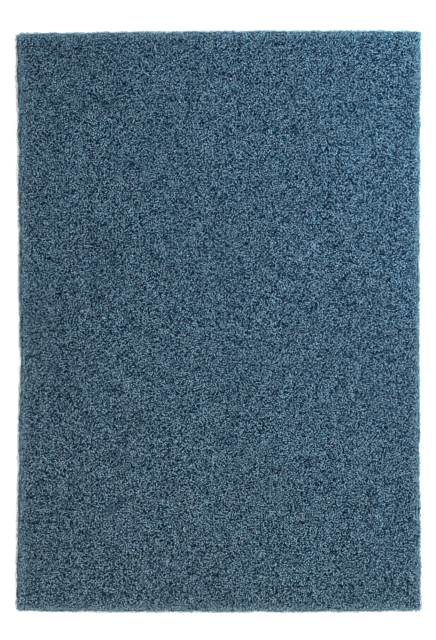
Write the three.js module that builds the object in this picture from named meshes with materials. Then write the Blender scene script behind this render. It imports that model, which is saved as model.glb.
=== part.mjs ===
// A rectangular floor scrubbing pad: one slab of springy nonwoven web, die-cut from a thick roll.
// It lies flat, with its length along Y and its thickness along Z. Both faces scrub, so either can be down.
// The origin is the middle of the lower face. All sizes are in millimetres.
import * as THREE from "three";
import { ImprovedNoise } from "three/addons/math/ImprovedNoise.js";
import { mergeVertices } from "three/addons/utils/BufferGeometryUtils.js";

// Slab
const padWidth = 355.6;
const padLength = 508;
const padThickness = 25.4;
const edgeRound = 3.2; // how far the web thins and rounds off beside a cut

// Cut outline. Each value is how far the cut strays inside the full rectangle.
const leftBow = 2.8; // the left cut bows in between its two corners
const leftNick = 1.4; // and dips in further at one place
const leftNickAt = -38; // the dip's place along the length
const leftNickReach = 30; // and its half length
const rightBow = 1.3;
const backDrop = 2.3; // the back cut falls away towards the left corner
const backPeakAt = 95; // where along the width the back cut reaches furthest
const frontBow = 0.9; // the front cut is fullest at its middle
const leftFlare = 3.6; // the left wall leans out this far towards the floor at its two corners
const leftFlareEase = 1; // and this much less at the middle of its length

// Relief. The faces are pressed and the sides are cut, but the web is thin in places and is hollow there.
const facePitch = 9.5; // spacing of the points that the two faces are drawn with
const wallPitch = 7; // and of those up the cut sides
const hollowPitch = 15; // distance from one hollow to the next
const hollowDepth = 1.6;
const hollowCrest = 0.5; // the noise value at which a hollow is at its deepest

const webBlue = 0x456073;

const halfWidth = padWidth / 2;
const halfLength = padLength / 2;
const halfThickness = padThickness / 2;
const cellsAcross = Math.round(padWidth / facePitch);
const cellsAlong = Math.round(padLength / facePitch);
const cellsUp = 2 + Math.max(1, Math.round((padThickness - 2 * edgeRound) / wallPitch));

// Place of grid line i, with the first and last cell as wide as the rounded edge.
function gridLine(i, cells, half) {
  if (i === 0 || i === cells) return i === 0 ? -half : half;
  const inner = half - edgeRound;
  return THREE.MathUtils.mapLinear(i, 1, cells - 1, -inner, inner);
}

// Which end of its row grid line i is, as -1 or 1, or 0 between the two.
const endOf = (i, cells) => (i === 0 ? -1 : Number(i === cells));

// How far a point on one side of the slab is hollowed. One noise fills the whole web.
const noise = new ImprovedNoise();

function hollow(point) {
  const { x, y, z } = point.clone().divideScalar(hollowPitch);
  return hollowDepth * THREE.MathUtils.smoothstep(noise.noise(x, y, z), 0, hollowCrest);
}

// How far a point that lies on two or three sides at once comes in, for a round of radius edgeRound.
const roundOff = (sides) => edgeRound * (1 - 1 / Math.sqrt(sides));

// How far each cut lies inside the rectangle, at a place along it.
const bow = (along) => 1 - along * along;

function leftInset(y, height) {
  const middle = bow(y / halfLength);
  const nick = leftNick * Math.exp(-(((y - leftNickAt) / leftNickReach) ** 2));
  const wallHeight = padThickness - 2 * edgeRound;
  const rise = THREE.MathUtils.clamp((height - edgeRound) / wallHeight, 0, 1);
  return (leftBow + nick) * middle + (leftFlare - leftFlareEase * middle) * rise;
}

const rightInset = (y) => rightBow * bow(y / halfLength);

const backInset = (x) => backDrop * ((x - backPeakAt) / (halfWidth + backPeakAt)) ** 2;

const frontInset = (x) => frontBow * (x / halfWidth) ** 2;

function cutOutline(point) {
  const { x, y, z } = point;
  const towardsLeft = (1 - x / halfWidth) / 2;
  const towardsBack = (1 + y / halfLength) / 2;
  point.x += leftInset(y, z) * towardsLeft - rightInset(y) * (1 - towardsLeft);
  point.y += frontInset(x) * (1 - towardsBack) - backInset(x) * towardsBack;
}

function makeWeb() {
  const box = new THREE.BoxGeometry(1, 1, 1, cellsAcross, cellsAlong, cellsUp);
  box.deleteAttribute("normal");
  box.deleteAttribute("uv");
  const geometry = mergeVertices(box, 1e-5);
  const position = geometry.getAttribute("position");
  const point = new THREE.Vector3();
  const outward = new THREE.Vector3();
  for (let n = 0; n < position.count; n += 1) {
    point.fromBufferAttribute(position, n).addScalar(0.5);
    const i = Math.round(point.x * cellsAcross);
    const j = Math.round(point.y * cellsAlong);
    const k = Math.round(point.z * cellsUp);
    point.x = gridLine(i, cellsAcross, halfWidth);
    point.y = gridLine(j, cellsAlong, halfLength);
    point.z = gridLine(k, cellsUp, halfThickness);
    outward.set(endOf(i, cellsAcross), endOf(j, cellsAlong), endOf(k, cellsUp));
    const sides = outward.lengthSq();
    const inset = sides > 1 ? roundOff(sides) : hollow(point);
    point.addScaledVector(outward, -inset);
    point.z += halfThickness;
    cutOutline(point);
    position.setXYZ(n, point.x, point.y, point.z);
  }
  geometry.computeVertexNormals();
  return geometry;
}

const web = new THREE.Mesh(
  makeWeb(),
  new THREE.MeshStandardMaterial({ color: webBlue, roughness: 0.9, metalness: 0 })
);
web.name = "scrubbing_web";

const floorPad = new THREE.Group();
floorPad.name = "floor_pad";
floorPad.add(web);

export default floorPad;
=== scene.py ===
import bmesh
import bpy
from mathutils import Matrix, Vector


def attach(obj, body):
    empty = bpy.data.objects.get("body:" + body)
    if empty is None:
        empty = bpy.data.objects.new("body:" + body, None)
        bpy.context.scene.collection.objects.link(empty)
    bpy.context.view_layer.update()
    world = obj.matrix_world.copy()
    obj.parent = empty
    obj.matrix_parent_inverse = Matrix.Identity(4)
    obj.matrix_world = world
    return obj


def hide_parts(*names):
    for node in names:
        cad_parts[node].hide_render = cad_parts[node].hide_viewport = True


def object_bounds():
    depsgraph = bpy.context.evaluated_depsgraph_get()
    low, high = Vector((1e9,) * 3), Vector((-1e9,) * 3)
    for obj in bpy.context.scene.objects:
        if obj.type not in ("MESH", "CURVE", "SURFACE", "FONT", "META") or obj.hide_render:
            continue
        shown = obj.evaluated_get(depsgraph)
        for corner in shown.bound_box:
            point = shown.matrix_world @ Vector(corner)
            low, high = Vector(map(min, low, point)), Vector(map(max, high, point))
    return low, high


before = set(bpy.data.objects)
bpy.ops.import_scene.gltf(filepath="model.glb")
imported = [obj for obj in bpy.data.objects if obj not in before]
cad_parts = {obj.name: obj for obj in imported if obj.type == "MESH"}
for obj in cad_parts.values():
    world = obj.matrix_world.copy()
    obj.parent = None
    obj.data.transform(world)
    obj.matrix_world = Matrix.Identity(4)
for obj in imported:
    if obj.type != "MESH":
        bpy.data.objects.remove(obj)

mm = 0.001
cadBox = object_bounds()
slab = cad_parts["scrubbing_web"]
scene = bpy.context.scene


# Small helpers

def linear(hexColour):
    channels = [int(hexColour[i:i + 2], 16) / 255 for i in (1, 3, 5)]
    return [c / 12.92 if c <= 0.04045 else ((c + 0.055) / 1.055) ** 2.4 for c in channels] + [1.0]


def addNode(tree, kind, settings=None, inputs=None):
    node = tree.nodes.new(kind)
    for name, value in (settings or {}).items():
        setattr(node, name, value)
    for name, value in (inputs or {}).items():
        socket = node.inputs[name]  # by number where several sockets share a name
        if isinstance(value, bpy.types.NodeSocket):
            tree.links.new(value, socket)
        else:
            socket.default_value = value
    return node


def newMaterial(name):
    material = bpy.data.materials.new(name)
    material.use_nodes = True
    material.node_tree.nodes.clear()
    return material, material.node_tree


def newGroup(name, sizes):
    tree = bpy.data.node_groups.new(name, "GeometryNodeTree")
    tree.interface.new_socket("Geometry", in_out="INPUT", socket_type="NodeSocketGeometry")
    tree.interface.new_socket("Geometry", in_out="OUTPUT", socket_type="NodeSocketGeometry")
    for label, kind in sizes.items():
        tree.interface.new_socket(label, in_out="INPUT", socket_type="NodeSocket" + kind)
    return tree, tree.nodes.new("NodeGroupInput").outputs


def runGroup(source, tree, values, name):
    # Runs a Geometry Nodes tree on a copy of source, and keeps the result as a plain mesh.
    carrier = source.copy()
    scene.collection.objects.link(carrier)
    modifier = carrier.modifiers.new(tree.name, "NODES")
    modifier.node_group = tree
    for item in tree.interface.items_tree:
        if item.in_out == "INPUT" and item.name in values:
            modifier[item.identifier] = values[item.name]
    evaluated = carrier.evaluated_get(bpy.context.evaluated_depsgraph_get())
    mesh = bpy.data.meshes.new_from_object(evaluated)
    mesh.name = name
    bpy.data.objects.remove(carrier)
    made = bpy.data.objects.new(name, mesh)
    scene.collection.objects.link(made)
    mesh.calc_loop_triangles()
    print(name, len(mesh.loop_triangles), "triangles")
    return made


# Camera, straight above

view = {
    "lens": 300.0,  # a long lens, because the cut sides hardly show
    "sensor": 36.0,  # on the picture's long side
    "pictureLength": 557.4 * mm,  # what the picture's height covers at the upper face
    "offCentre": (0.1 * mm, 1.3 * mm),  # the pad lies that far left of and below the picture's centre
}


def makeCamera():
    data = bpy.data.cameras.new("camera")
    data.lens = view["lens"]
    data.sensor_width = view["sensor"]
    camera = bpy.data.objects.new("camera", data)
    scene.collection.objects.link(camera)
    height = cadBox[1].z + view["pictureLength"] * view["lens"] / view["sensor"]
    camera.location = (*view["offCentre"], height)
    scene.camera = camera
    print("camera at", round(height, 3), "m")


makeCamera()


# Table, backdrop and lamps

studio = {
    "tableSize": 8.0,
    "tableWhite": "#EDEDED",
    "tableRoughness": 0.9,
    "cameraWhite": 0.66,  # added only where the table is seen, so that it shows as white
    "skyStrength": 0.6,
    "skyColour": "#FFFCF6",
    "lampSize": 0.5,
    "lamps": {  # place, power and colour, for cool daylight at the upper right and warm light low down
        "window": ((0.6, 0.3, 0.5), 8.0, "#A2E2FF"),
        "room_lamp": ((0.0, -0.6, 0.45), 1.6, "#FFF2DE"),
    },
}


def seenShare(tree):
    # 1 for rays that show the table or the sky, and 0 for rays that light the pad.
    path = addNode(tree, "ShaderNodeLightPath").outputs
    share = path["Is Camera Ray"]
    for ray in ("Is Glossy Ray", "Is Transmission Ray"):
        either = addNode(tree, "ShaderNodeMath", {"operation": "MAXIMUM"}, {0: share, 1: path[ray]})
        share = either.outputs[0]
    return share


def tableLaminate():
    # Matt white laminate: it takes the pad's shadow and shows no grain.
    material, tree = newMaterial("white_table_laminate")
    matt = addNode(tree, "ShaderNodeBsdfPrincipled", None,
                   {"Base Color": linear(studio["tableWhite"]), "Roughness": studio["tableRoughness"]})
    white = addNode(tree, "ShaderNodeMath", {"operation": "MULTIPLY"},
                    {0: seenShare(tree), 1: studio["cameraWhite"]}).outputs[0]
    glow = addNode(tree, "ShaderNodeEmission", None, {"Strength": white})
    both = addNode(tree, "ShaderNodeAddShader", None, {0: matt.outputs[0], 1: glow.outputs[0]})
    addNode(tree, "ShaderNodeOutputMaterial", None, {"Surface": both.outputs[0]})
    return material


def makeStudio():
    half = studio["tableSize"] / 2
    corners = [(-half, -half, 0), (half, -half, 0), (half, half, 0), (-half, half, 0)]
    mesh = bpy.data.meshes.new("table")
    mesh.from_pydata(corners, [], [(0, 1, 2, 3)])
    mesh.materials.append(tableLaminate())
    table = bpy.data.objects.new("table", mesh)
    scene.collection.objects.link(table)

    world = bpy.data.worlds.new("soft_sky")
    world.use_nodes = True
    tree = world.node_tree
    tree.nodes.clear()
    strength = addNode(tree, "ShaderNodeMix", {"data_type": "FLOAT"},
                       {"Factor": seenShare(tree), "A": studio["skyStrength"], "B": 1.0}).outputs[0]
    sky = addNode(tree, "ShaderNodeBackground", None,
                  {"Strength": strength, "Color": linear(studio["skyColour"])})
    addNode(tree, "ShaderNodeOutputWorld", None, {"Surface": sky.outputs[0]})
    scene.world = world

    for name, (place, power, colour) in studio["lamps"].items():
        data = bpy.data.lights.new(name, "AREA")
        data.size = studio["lampSize"]
        data.energy = power
        data.color = linear(colour)[:3]
        lamp = bpy.data.objects.new(name, data)
        lamp.location = place
        lamp.rotation_euler = (-lamp.location).to_track_quat("-Z", "Y").to_euler()
        scene.collection.objects.link(lamp)

    scene.view_settings.view_transform = "Standard"
    print("table, sky and lamps made")


makeStudio()


# Web materials. Light gets into the open web at its cuts, so both are painted lighter and greyer there:
# painted light.

# painted light: the pale, greyish tint that the web takes at its cuts, where light gets in
cutLightTint = "#A6C8D8"


def noiseAt(tree, place, pitch, detail=1.0):
    return addNode(tree, "ShaderNodeTexNoise", None,
                   {"Vector": place, "Scale": 1 / pitch, "Detail": detail}).outputs["Fac"]


def mapped(tree, value, span, result):
    return addNode(tree, "ShaderNodeMapRange", None,
                   {"Value": value, "From Min": span[0], "From Max": span[1],
                    "To Min": result[0], "To Max": result[1]}).outputs["Result"]


def toneRamp(tree, value, tones):
    ramp = addNode(tree, "ShaderNodeValToRGB", None, {"Fac": value})
    elements = ramp.color_ramp.elements
    while len(elements) < len(tones):
        elements.new(0.5)
    for element, (at, hexColour) in zip(elements, tones):
        element.position = at
        element.color = linear(hexColour)
    return ramp.outputs["Color"]


def mixed(tree, share, first, second):
    return addNode(tree, "ShaderNodeMix", {"data_type": "RGBA"}, {0: share, 6: first, 7: second}).outputs[2]


def paintedCutLight(tree, colour, share):
    # Painted light: mixes in the pale cut tint, more the nearer the point is to the cut sides.
    nearness = addNode(tree, "ShaderNodeAttribute", {"attribute_name": "cutNearness"}).outputs["Fac"]
    pale = addNode(tree, "ShaderNodeMath", {"operation": "MULTIPLY"}, {0: nearness, 1: share}).outputs[0]
    return mixed(tree, pale, colour, linear(cutLightTint))


def coated(material, look, colour, bump):
    tree = material.node_tree
    coat = addNode(tree, "ShaderNodeBsdfPrincipled", None,
                   {"Base Color": colour, "Roughness": look["roughness"],
                    "Specular IOR Level": look["gloss"], "Normal": bump.outputs["Normal"]})
    addNode(tree, "ShaderNodeOutputMaterial", None, {"Surface": coat.outputs[0]})
    return material


# Fibre material. Coarse synthetic fibre, dyed blue and coated in binding resin with fine grit.

fibreLook = {
    # The darkest tones carry the painted shade of fibres deep in the web. The palest, greyish tone is
    # partly a painted highlight, for the gloss on lit fibre tops, and partly the fibre's own pale blue.
    "tones": ((0.0, "#000C17"), (0.4, "#0E3C5A"), (0.65, "#75A6C5"), (1.0, "#CDE2EE")),
    "resinPitch": 1.0 * mm,  # the resin gathers in beads of this size, and pales the fibre there
    "resinRange": (0.3, 0.7),  # the part of the noise's range that the beads use
    "resinShare": 1.6,
    "patchPitch": 60.0 * mm,  # the dye takes slightly greyer in some parts of the web
    "patchRange": (0.4, 0.6),
    "patchTint": "#57707C",
    "patchShare": 0.12,
    "gritPitch": 0.9 * mm,  # real grit is about 0.1 mm, and is drawn coarser so that it shows
    "gritDepth": 0.2 * mm,
    "gritDetail": 2.0,
    "gritStrength": 0.7,
    "roughness": 0.5,
    "gloss": 0.12,
    "cutLightShare": 0.5,  # of the painted cut light, on the cut sides themselves
}


def resinCoatedFibre():
    # Each fibre has a tone of its own, with painted shade that darkens it the deeper it lies. The resin
    # gives it pale beads and a soft gloss, and the grit breaks that up.
    look = fibreLook
    material, tree = newMaterial("resin_coated_fibre")
    place = addNode(tree, "ShaderNodeTexCoord").outputs["Object"]
    tone = addNode(tree, "ShaderNodeAttribute", {"attribute_name": "fibreTone"}).outputs["Fac"]
    half = look["resinShare"] / 2
    beads = mapped(tree, noiseAt(tree, place, look["resinPitch"]), look["resinRange"], (-half, half))
    beaded = addNode(tree, "ShaderNodeMath", {"operation": "ADD"}, {0: tone, 1: beads}).outputs[0]
    colour = toneRamp(tree, beaded, look["tones"])
    patches = mapped(tree, noiseAt(tree, place, look["patchPitch"]), look["patchRange"],
                     (0.0, look["patchShare"]))
    colour = mixed(tree, patches, colour, linear(look["patchTint"]))
    colour = paintedCutLight(tree, colour, look["cutLightShare"])
    bump = addNode(tree, "ShaderNodeBump", None,
                   {"Strength": look["gritStrength"], "Distance": look["gritDepth"],
                    "Height": noiseAt(tree, place, look["gritPitch"], look["gritDetail"])})
    return coated(material, look, colour, bump)


# Tangle material. Deeper fibres of the same web, in the shade of those above them.

tangleLook = {
    "tones": ((0.0, "#000F1B"), (0.5, "#03243B"), (1.0, "#184D6C")),
    "fibrePitch": 2.1 * mm,  # distance between the curly fibres drawn on it
    "fibreWidth": 0.06,  # as a share of the noise's range
    "layers": 3,
    "layerShift": (0.31, 0.17, 0.07),  # metres, so that each layer reads another part of the noise
    "layerDepthShade": 0.25,  # each layer is painted that much darker, as painted shade, because it lies deeper than the one before
    "fibreRise": 0.6 * mm,
    "fibreStrength": 0.9,
    "roughness": 0.7,
    "gloss": 0.0,  # the fibres above keep the sky's gloss off it
    # painted light at the cuts, weaker on the tangle
    "cutLightShare": 0.08,
}


def shadedTangle():
    # Curly lines follow the middle of a noise. Each layer has a noise of its own, so the lines cross.
    look = tangleLook
    material, tree = newMaterial("shaded_fibre_tangle")
    place = addNode(tree, "ShaderNodeTexCoord").outputs["Object"]
    lines = 0.0
    for layer in range(look["layers"]):
        shift = tuple(step * layer for step in look["layerShift"])
        moved = addNode(tree, "ShaderNodeMapping", None, {"Vector": place, "Location": shift}).outputs[0]
        off = addNode(tree, "ShaderNodeMath", {"operation": "SUBTRACT"},
                      {0: noiseAt(tree, moved, look["fibrePitch"]), 1: 0.5}).outputs[0]
        away = addNode(tree, "ShaderNodeMath", {"operation": "ABSOLUTE"}, {0: off}).outputs[0]
        line = mapped(tree, away, (0.0, look["fibreWidth"]), (1 - look["layerDepthShade"] * layer, 0.0))
        lines = addNode(tree, "ShaderNodeMath", {"operation": "MAXIMUM"}, {0: lines, 1: line}).outputs[0]
    colour = paintedCutLight(tree, toneRamp(tree, lines, look["tones"]), look["cutLightShare"])
    bump = addNode(tree, "ShaderNodeBump", None,
                   {"Strength": look["fibreStrength"], "Distance": look["fibreRise"], "Height": lines})
    return coated(material, look, colour, bump)


# Slab. A merged copy of the CAD solid, which the fibres are laid on and kept inside.

def copySlab():
    body = bmesh.new()
    body.from_mesh(slab.data)
    bmesh.ops.remove_doubles(body, verts=body.verts, dist=0.001 * mm)
    mesh = bpy.data.meshes.new("slab_copy")
    body.to_mesh(mesh)
    body.free()
    if mesh.attributes.get("custom_normal"):  # the CAD's normals no longer fit the merged points
        mesh.attributes.remove(mesh.attributes["custom_normal"])
    copy = bpy.data.objects.new("slab_copy", mesh)
    scene.collection.objects.link(copy)
    return copy


slabCopy = copySlab()


# Steps that both Geometry Nodes trees share

wallSlope = 0.5  # a surface whose normal rises less than this is one of the cut sides


class Steps:
    # Short forms for the nodes of one tree.
    def __init__(self, tree):
        self.tree = tree
        self.position = addNode(tree, "GeometryNodeInputPosition").outputs[0]
        self.normal = addNode(tree, "GeometryNodeInputNormal").outputs[0]

    def math(self, operation, a, b=0.0):
        return addNode(self.tree, "ShaderNodeMath", {"operation": operation}, {0: a, 1: b}).outputs[0]

    def vector(self, operation, a, b=None):
        second = {} if b is None else {("Scale" if operation == "SCALE" else 1): b}
        node = addNode(self.tree, "ShaderNodeVectorMath", {"operation": operation}, {0: a, **second})
        return node.outputs["Value" if operation == "DOT_PRODUCT" else "Vector"]

    def upward(self, direction):
        return addNode(self.tree, "ShaderNodeSeparateXYZ", None, {0: direction}).outputs["Z"]

    def random(self, kind, least, most, seed, step):
        first = 0 if kind == "FLOAT_VECTOR" else 2
        node = addNode(self.tree, "FunctionNodeRandomValue", {"data_type": kind},
                       {first: least, first + 1: most, "Seed": self.math("ADD", seed, step)})
        return node.outputs[0 if kind == "FLOAT_VECTOR" else 1]

    def keep(self, geometry, kind, name, value):
        return addNode(self.tree, "GeometryNodeStoreNamedAttribute", {"data_type": kind},
                       {"Geometry": geometry, "Name": name, "Value": value}).outputs[0]

    def kept(self, kind, name):
        return addNode(self.tree, "GeometryNodeInputNamedAttribute", {"data_type": kind},
                       {"Name": name}).outputs[0]

    def cutNearness(self, geometry, slabGeometry, reach):
        # Keeps how near each point is to the cut sides: 1 on them, and 0 at the reach and beyond. The
        # materials paint light there by it.
        walls = self.math("LESS_THAN", self.math("ABSOLUTE", self.upward(self.normal)), wallSlope)
        sides = addNode(self.tree, "GeometryNodeSeparateGeometry", {"domain": "FACE"},
                        {"Geometry": slabGeometry, "Selection": walls}).outputs[0]
        away = addNode(self.tree, "GeometryNodeProximity", {"target_element": "FACES"}, {"Geometry": sides})
        share = self.math("SUBTRACT", 1.0, self.math("MINIMUM", self.math(
            "DIVIDE", away.outputs["Distance"], reach), 1.0))
        return self.keep(geometry, "FLOAT", "cutNearness", self.math("MULTIPLY", share, share))

    def finish(self, geometry, material):
        whole = addNode(self.tree, "GeometryNodeRealizeInstances", None, {"Geometry": geometry})
        dyed = addNode(self.tree, "GeometryNodeSetMaterial", None,
                       {"Geometry": whole.outputs[0], "Material": material})
        addNode(self.tree, "NodeGroupOutput", None, {"Geometry": dyed.outputs[0]})
        return self.tree


# Tangle. The inside of the web, seen between the fibres of the surface.

tangle = {
    "Face inset": 2.0 * mm,
    "Cut inset": 0.6 * mm,
    "Voxel": 4.2 * mm,
    "Pit pitch": 5.0 * mm,
    "Pit depth": 1.6 * mm,
    "Pit range": (0.35, 0.65),  # the part of the noise's range that the pits use
    "Pit detail": 2.0,
    "Cut pit share": 0.6,  # the pits in the cut sides have this share of the depth of those in the faces
    "Cut reach": 11.0 * mm,
}


def tangleTree():
    tree, given = newGroup("tangle", {
        "Face inset": "Float", "Cut inset": "Float", "Pit pitch": "Float", "Pit depth": "Float",
        "Cut pit share": "Float", "Cut reach": "Float", "Slab": "Object", "Material": "Material"})
    do = Steps(tree)
    noise = addNode(tree, "ShaderNodeTexNoise", None,
                    {"Vector": do.position, "Scale": do.math("DIVIDE", 1.0, given["Pit pitch"]),
                     "Detail": tangle["Pit detail"]})
    pit = mapped(tree, noise.outputs["Fac"], tangle["Pit range"], (0.0, given["Pit depth"]))
    atFace = do.math("ADD", pit, given["Face inset"])
    atCut = do.math("ADD", do.math("MULTIPLY", pit, given["Cut pit share"]), given["Cut inset"])
    inset = addNode(tree, "ShaderNodeCombineXYZ", None, {"X": atCut, "Y": atCut, "Z": atFace}).outputs[0]
    inwards = do.vector("SCALE", do.vector("MULTIPLY", do.normal, inset), -1.0)
    pitted = addNode(tree, "GeometryNodeSetPosition", None,
                     {"Geometry": given["Geometry"], "Offset": inwards})
    whole = addNode(tree, "GeometryNodeObjectInfo", {"transform_space": "ORIGINAL"},
                    {"Object": given["Slab"]}).outputs["Geometry"]
    paled = do.cutNearness(pitted.outputs[0], whole, given["Cut reach"])
    return do.finish(paled, given["Material"])


def makeTangle(material):
    inner = slabCopy.copy()
    inner.data = slabCopy.data.copy()
    scene.collection.objects.link(inner)
    remesh = inner.modifiers.new("remesh", "REMESH")
    remesh.mode = "VOXEL"
    remesh.voxel_size = tangle["Voxel"]
    even = bpy.data.meshes.new_from_object(inner.evaluated_get(bpy.context.evaluated_depsgraph_get()))
    inner.modifiers.clear()
    inner.data = even
    made = runGroup(inner, tangleTree(), {**tangle, "Slab": slabCopy, "Material": material}, "web_tangle")
    bpy.data.objects.remove(inner)
    return made


# Fibres. Each is a short bent rod, crimped by a noise. At the faces most arch up out of the web, and at the
# sides they are cut off.

fibreSizes = {
    **dict.fromkeys(("Spacing", "Bend radius", "Sweep", "Radius", "Least lean", "Most lean", "Crimp pitch",
                     "Crimp reach", "Least depth", "Most depth", "Darkest depth", "Least tone",
                     "Least slope", "Most slope", "Stray", "Cut reach", "Thickness"), "Float"),
    **dict.fromkeys(("Shares", "Share", "Seed", "Segments"), "Int"),
    "Flat": "Bool", "Slab": "Object", "Material": "Material",
}

fibreRule = {
    "crowding": 3.0,  # points tried for each square of the spacing, so that the points fill the surface
    "shift": 9,  # metres by which the noise is moved at most, so that no two fibres crimp alike
    "tilt": 0.3,  # radians to either side
    "turn": 6.2832,
    "scales": (0.7, 1.4),
    "cutSlope": 0.6,  # a fibre is cut off, not pressed back, where the nearest surface rises less than this
    "rodSides": 3,
}


def fibreTree():
    tree, given = newGroup("fibres", fibreSizes)
    rule = fibreRule
    do = Steps(tree)
    seed = given["Seed"]

    # Evenly spaced points on the slab's chosen sides, of which this layer takes its share
    slope = do.upward(do.normal)
    chosen = do.math("MULTIPLY", do.math("GREATER_THAN", slope, given["Least slope"]),
                     do.math("LESS_THAN", slope, given["Most slope"]))
    crowded = do.math("DIVIDE", rule["crowding"], do.math("MULTIPLY", given["Spacing"], given["Spacing"]))
    spread = addNode(tree, "GeometryNodeDistributePointsOnFaces", {"distribute_method": "POISSON"},
                     {"Mesh": given["Geometry"], "Distance Min": given["Spacing"], "Density Max": crowded,
                      "Density Factor": chosen, "Seed": seed})
    number = addNode(tree, "GeometryNodeInputIndex").outputs[0]
    others = do.math("COMPARE", do.math("MODULO", number, given["Shares"]), given["Share"])
    taken = addNode(tree, "GeometryNodeDeleteGeometry", {"domain": "POINT"},
                    {"Geometry": spread.outputs["Points"], "Selection": do.math("SUBTRACT", 1.0, others)})
    depth = do.random("FLOAT", given["Least depth"], given["Most depth"], seed, 1.0)
    inwards = do.vector("SCALE", spread.outputs["Normal"], do.math("MULTIPLY", depth, -1.0))
    sunk = addNode(tree, "GeometryNodeSetPosition", None, {"Geometry": taken.outputs[0], "Offset": inwards})

    # What each fibre keeps: a tone of its own with painted shade the deeper it starts, and a shift that
    # gives it a crimp of its own
    # painted shade: the deeper a fibre starts, the darker its tone
    light = do.math("SUBTRACT", 1.0, do.math("DIVIDE", depth, given["Darkest depth"]))
    ownTone = do.random("FLOAT", given["Least tone"], 1.0, seed, 2.0)
    toned = do.keep(sunk.outputs[0], "FLOAT", "fibreTone",
                    do.math("MULTIPLY", ownTone, do.math("MAXIMUM", light, 0.0)))
    shift = do.random("FLOAT_VECTOR", (-rule["shift"],) * 3, (rule["shift"],) * 3, seed, 3.0)
    shifted = do.keep(toned, "FLOAT_VECTOR", "fibreShift", shift)

    # An arc at each point, leaning down at its ends and turned any way in the surface
    count = addNode(tree, "FunctionNodeIntegerMath", {"operation": "ADD"}, {0: given["Segments"], 1: 1})
    arc = addNode(tree, "GeometryNodeCurveArc", {"mode": "RADIUS"},
                  {"Resolution": count.outputs[0], "Radius": given["Bend radius"],
                   "Start Angle": do.math("MULTIPLY", given["Sweep"], -0.5), "Sweep Angle": given["Sweep"]})
    back = addNode(tree, "ShaderNodeCombineXYZ", None,
                   {"X": do.math("MULTIPLY", given["Bend radius"], -1.0)})
    middled = addNode(tree, "GeometryNodeTransform", None,
                      {"Geometry": arc.outputs[0], "Translation": back.outputs[0]})
    turn = addNode(tree, "ShaderNodeCombineXYZ", None,
                   {"X": do.random("FLOAT", -rule["tilt"], rule["tilt"], seed, 4.0),
                    "Y": do.random("FLOAT", given["Least lean"], given["Most lean"], seed, 5.0),
                    "Z": do.random("FLOAT", 0.0, rule["turn"], seed, 6.0)})
    rotation = addNode(tree, "FunctionNodeEulerToRotation", None, {0: turn.outputs[0]})
    turned = addNode(tree, "FunctionNodeRotateRotation", {"rotation_space": "LOCAL"},
                     {"Rotation": spread.outputs["Rotation"], "Rotate By": rotation.outputs[0]})
    laid = addNode(tree, "GeometryNodeInstanceOnPoints", None,
                   {"Points": shifted, "Instance": middled.outputs[0], "Rotation": turned.outputs[0],
                    "Scale": do.random("FLOAT", *rule["scales"], seed, 7.0)})
    loose = addNode(tree, "GeometryNodeRealizeInstances", None, {"Geometry": laid.outputs[0]})

    # Crimp
    crimp = addNode(tree, "ShaderNodeTexNoise", {"normalize": False},
                    {"Vector": do.vector("ADD", do.position, do.kept("FLOAT_VECTOR", "fibreShift")),
                     "Scale": do.math("DIVIDE", 1.0, given["Crimp pitch"]), "Detail": 0.0})
    crimped = addNode(tree, "GeometryNodeSetPosition", None,
                      {"Geometry": loose.outputs[0],
                       "Offset": do.vector("SCALE", crimp.outputs["Color"], given["Crimp reach"])})

    # A point outside the slab is pressed back into a face, or cut off at a side
    whole = addNode(tree, "GeometryNodeObjectInfo", {"transform_space": "ORIGINAL"},
                    {"Object": given["Slab"]}).outputs["Geometry"]
    nearest, facing = (addNode(tree, "GeometryNodeSampleNearestSurface", {"data_type": "FLOAT_VECTOR"},
                               {"Mesh": whole, "Value": value, "Sample Position": do.position}).outputs[0]
                       for value in (do.position, do.normal))
    outwards = do.vector("NORMALIZE", facing)
    outside = do.vector("DOT_PRODUCT", do.vector("SUBTRACT", do.position, nearest), outwards)
    steep = do.math("LESS_THAN", do.math("ABSOLUTE", do.upward(outwards)), rule["cutSlope"])
    stray = do.random("FLOAT", 0.0, given["Stray"], seed, 8.0)
    cut = addNode(tree, "GeometryNodeDeleteGeometry", {"domain": "POINT"},
                  {"Geometry": crimped.outputs[0],
                   "Selection": do.math("MULTIPLY", steep, do.math("GREATER_THAN", outside, stray))})
    tooFar = do.math("GREATER_THAN", do.math("ADD", outside, given["Radius"]), 0.0)
    atFace = do.math("MULTIPLY", tooFar, do.math("SUBTRACT", 1.0, steep))
    inside = do.vector("SUBTRACT", nearest, do.vector("SCALE", outwards, given["Radius"]))
    pressed = addNode(tree, "GeometryNodeSetPosition", None,
                      {"Geometry": cut.outputs[0], "Selection": atFace, "Position": inside})
    highest = do.math("SUBTRACT", given["Thickness"], given["Radius"])
    place = addNode(tree, "ShaderNodeSeparateXYZ", None, {0: do.position}).outputs
    between = do.math("MAXIMUM", do.math("MINIMUM", place["Z"], highest), given["Radius"])
    levelled = addNode(tree, "ShaderNodeCombineXYZ", None, {"X": place["X"], "Y": place["Y"], "Z": between})
    kept = addNode(tree, "GeometryNodeSetPosition", None,
                   {"Geometry": pressed.outputs[0], "Position": levelled.outputs[0]})
    paled = do.cutNearness(kept.outputs[0], whole, given["Cut reach"])

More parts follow.
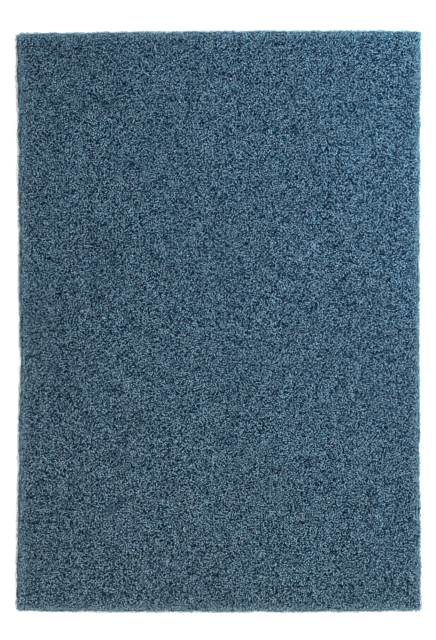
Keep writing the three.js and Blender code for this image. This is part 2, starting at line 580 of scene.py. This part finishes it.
    # A rod round each arc, or a flat strip where the fibre lies too deep to be seen from the side
    level = addNode(tree, "GeometryNodeSetCurveNormal", {"mode": "Z_UP"}, {"Curve": paled})
    rod = addNode(tree, "GeometryNodeCurvePrimitiveCircle", None,
                  {"Resolution": rule["rodSides"], "Radius": given["Radius"]})
    edge = addNode(tree, "ShaderNodeCombineXYZ", None, {"X": given["Radius"]})
    strip = addNode(tree, "GeometryNodeCurvePrimitiveLine", None,
                    {"Start": do.vector("SCALE", edge.outputs[0], -1.0), "End": edge.outputs[0]})
    profile = addNode(tree, "GeometryNodeSwitch", {"input_type": "GEOMETRY"},
                      {"Switch": given["Flat"], "False": rod.outputs[0], "True": strip.outputs[0]})
    solid = addNode(tree, "GeometryNodeCurveToMesh", None,
                    {"Curve": level.outputs[0], "Profile Curve": profile.outputs[0], "Fill Caps": True})
    return do.finish(solid.outputs[0], given["Material"])


# Sizes that the layers share. A real fibre is 0.1 to 0.2 mm thick, which is too fine to show, so the
# fibres are drawn about three times as thick, and fewer.
fibre = {
    "Bend radius": 1.1 * mm,
    "Sweep": 2.4,  # radians of the bend
    "Segments": 2,
    "Radius": 0.25 * mm,
    "Crimp pitch": 2.0 * mm,
    "Crimp reach": 0.8 * mm,
    "Darkest depth": 2.6 * mm,  # a fibre that starts there is the darkest, because the others shade it
    "Least tone": 0.75,
    "Stray": 1.7 * mm,  # how far a fibre may stand out of a cut side
    "Flat": False,
    "Cut reach": tangle["Cut reach"],
    "Thickness": cadBox[1].z,
    "Shares": 1,
    "Share": 0,
}

# Fibres of the two faces. The upper ones are made in two shares, because one mesh would be too large.
faceFibre = {
    **fibre, "Least lean": -1.5, "Most lean": 0.1, "Least depth": 0.15 * mm, "Most depth": 1.0 * mm,
}
upperFibre = {
    **faceFibre, "Spacing": 1.84 * mm, "Shares": 2, "Seed": 11, "Least slope": 0.5, "Most slope": 1.1,
}
lowerFibre = {
    **faceFibre, "Bend radius": 1.8 * mm, "Segments": 3, "Spacing": 5.0 * mm, "Seed": 41,
    "Radius": 0.4 * mm, "Least slope": -1.1, "Most slope": -0.5,
}

# Fibres under the upper ones, seen only from above and so made as flat strips
middleFibre = {
    **upperFibre, "Spacing": 1.4 * mm, "Shares": 1, "Seed": 21, "Radius": 0.22 * mm,
    "Least depth": 0.5 * mm, "Most depth": 1.5 * mm, "Least tone": 0.5, "Flat": True,
}
deepFibre = {
    **middleFibre, "Spacing": 1.7 * mm, "Seed": 31, "Least depth": 1.2 * mm, "Most depth": 2.2 * mm,
    "Darkest depth": 2.3 * mm,
}

# Fibres of the cut sides, which point any way and stand out as a short frayed edge
cutFibre = {
    **fibre, "Radius": 0.22 * mm, "Least tone": 0.45, "Least lean": -3.1416, "Most lean": 3.1416,
    "Least depth": -0.7 * mm, "Most depth": 1.8 * mm, "Spacing": 1.4 * mm, "Seed": 51,
    "Least slope": -0.5, "Most slope": 0.5,
}

fibreLayers = {
    "upper_fibres_first": upperFibre,
    "upper_fibres_second": {**upperFibre, "Share": 1},
    "middle_fibres": middleFibre,
    "deep_fibres": deepFibre,
    "lower_fibres": lowerFibre,
    "cut_side_fibres": cutFibre,
}


def makeFibres(material):
    tree = fibreTree()
    return [runGroup(slabCopy, tree, {**values, "Slab": slabCopy, "Material": material}, name)
            for name, values in fibreLayers.items()]


webTangle = makeTangle(shadedTangle())
fibres = makeFibres(resinCoatedFibre())
bpy.data.objects.remove(slabCopy)
for piece in [webTangle, *fibres]:
    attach(piece, "root")
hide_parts("scrubbing_web")
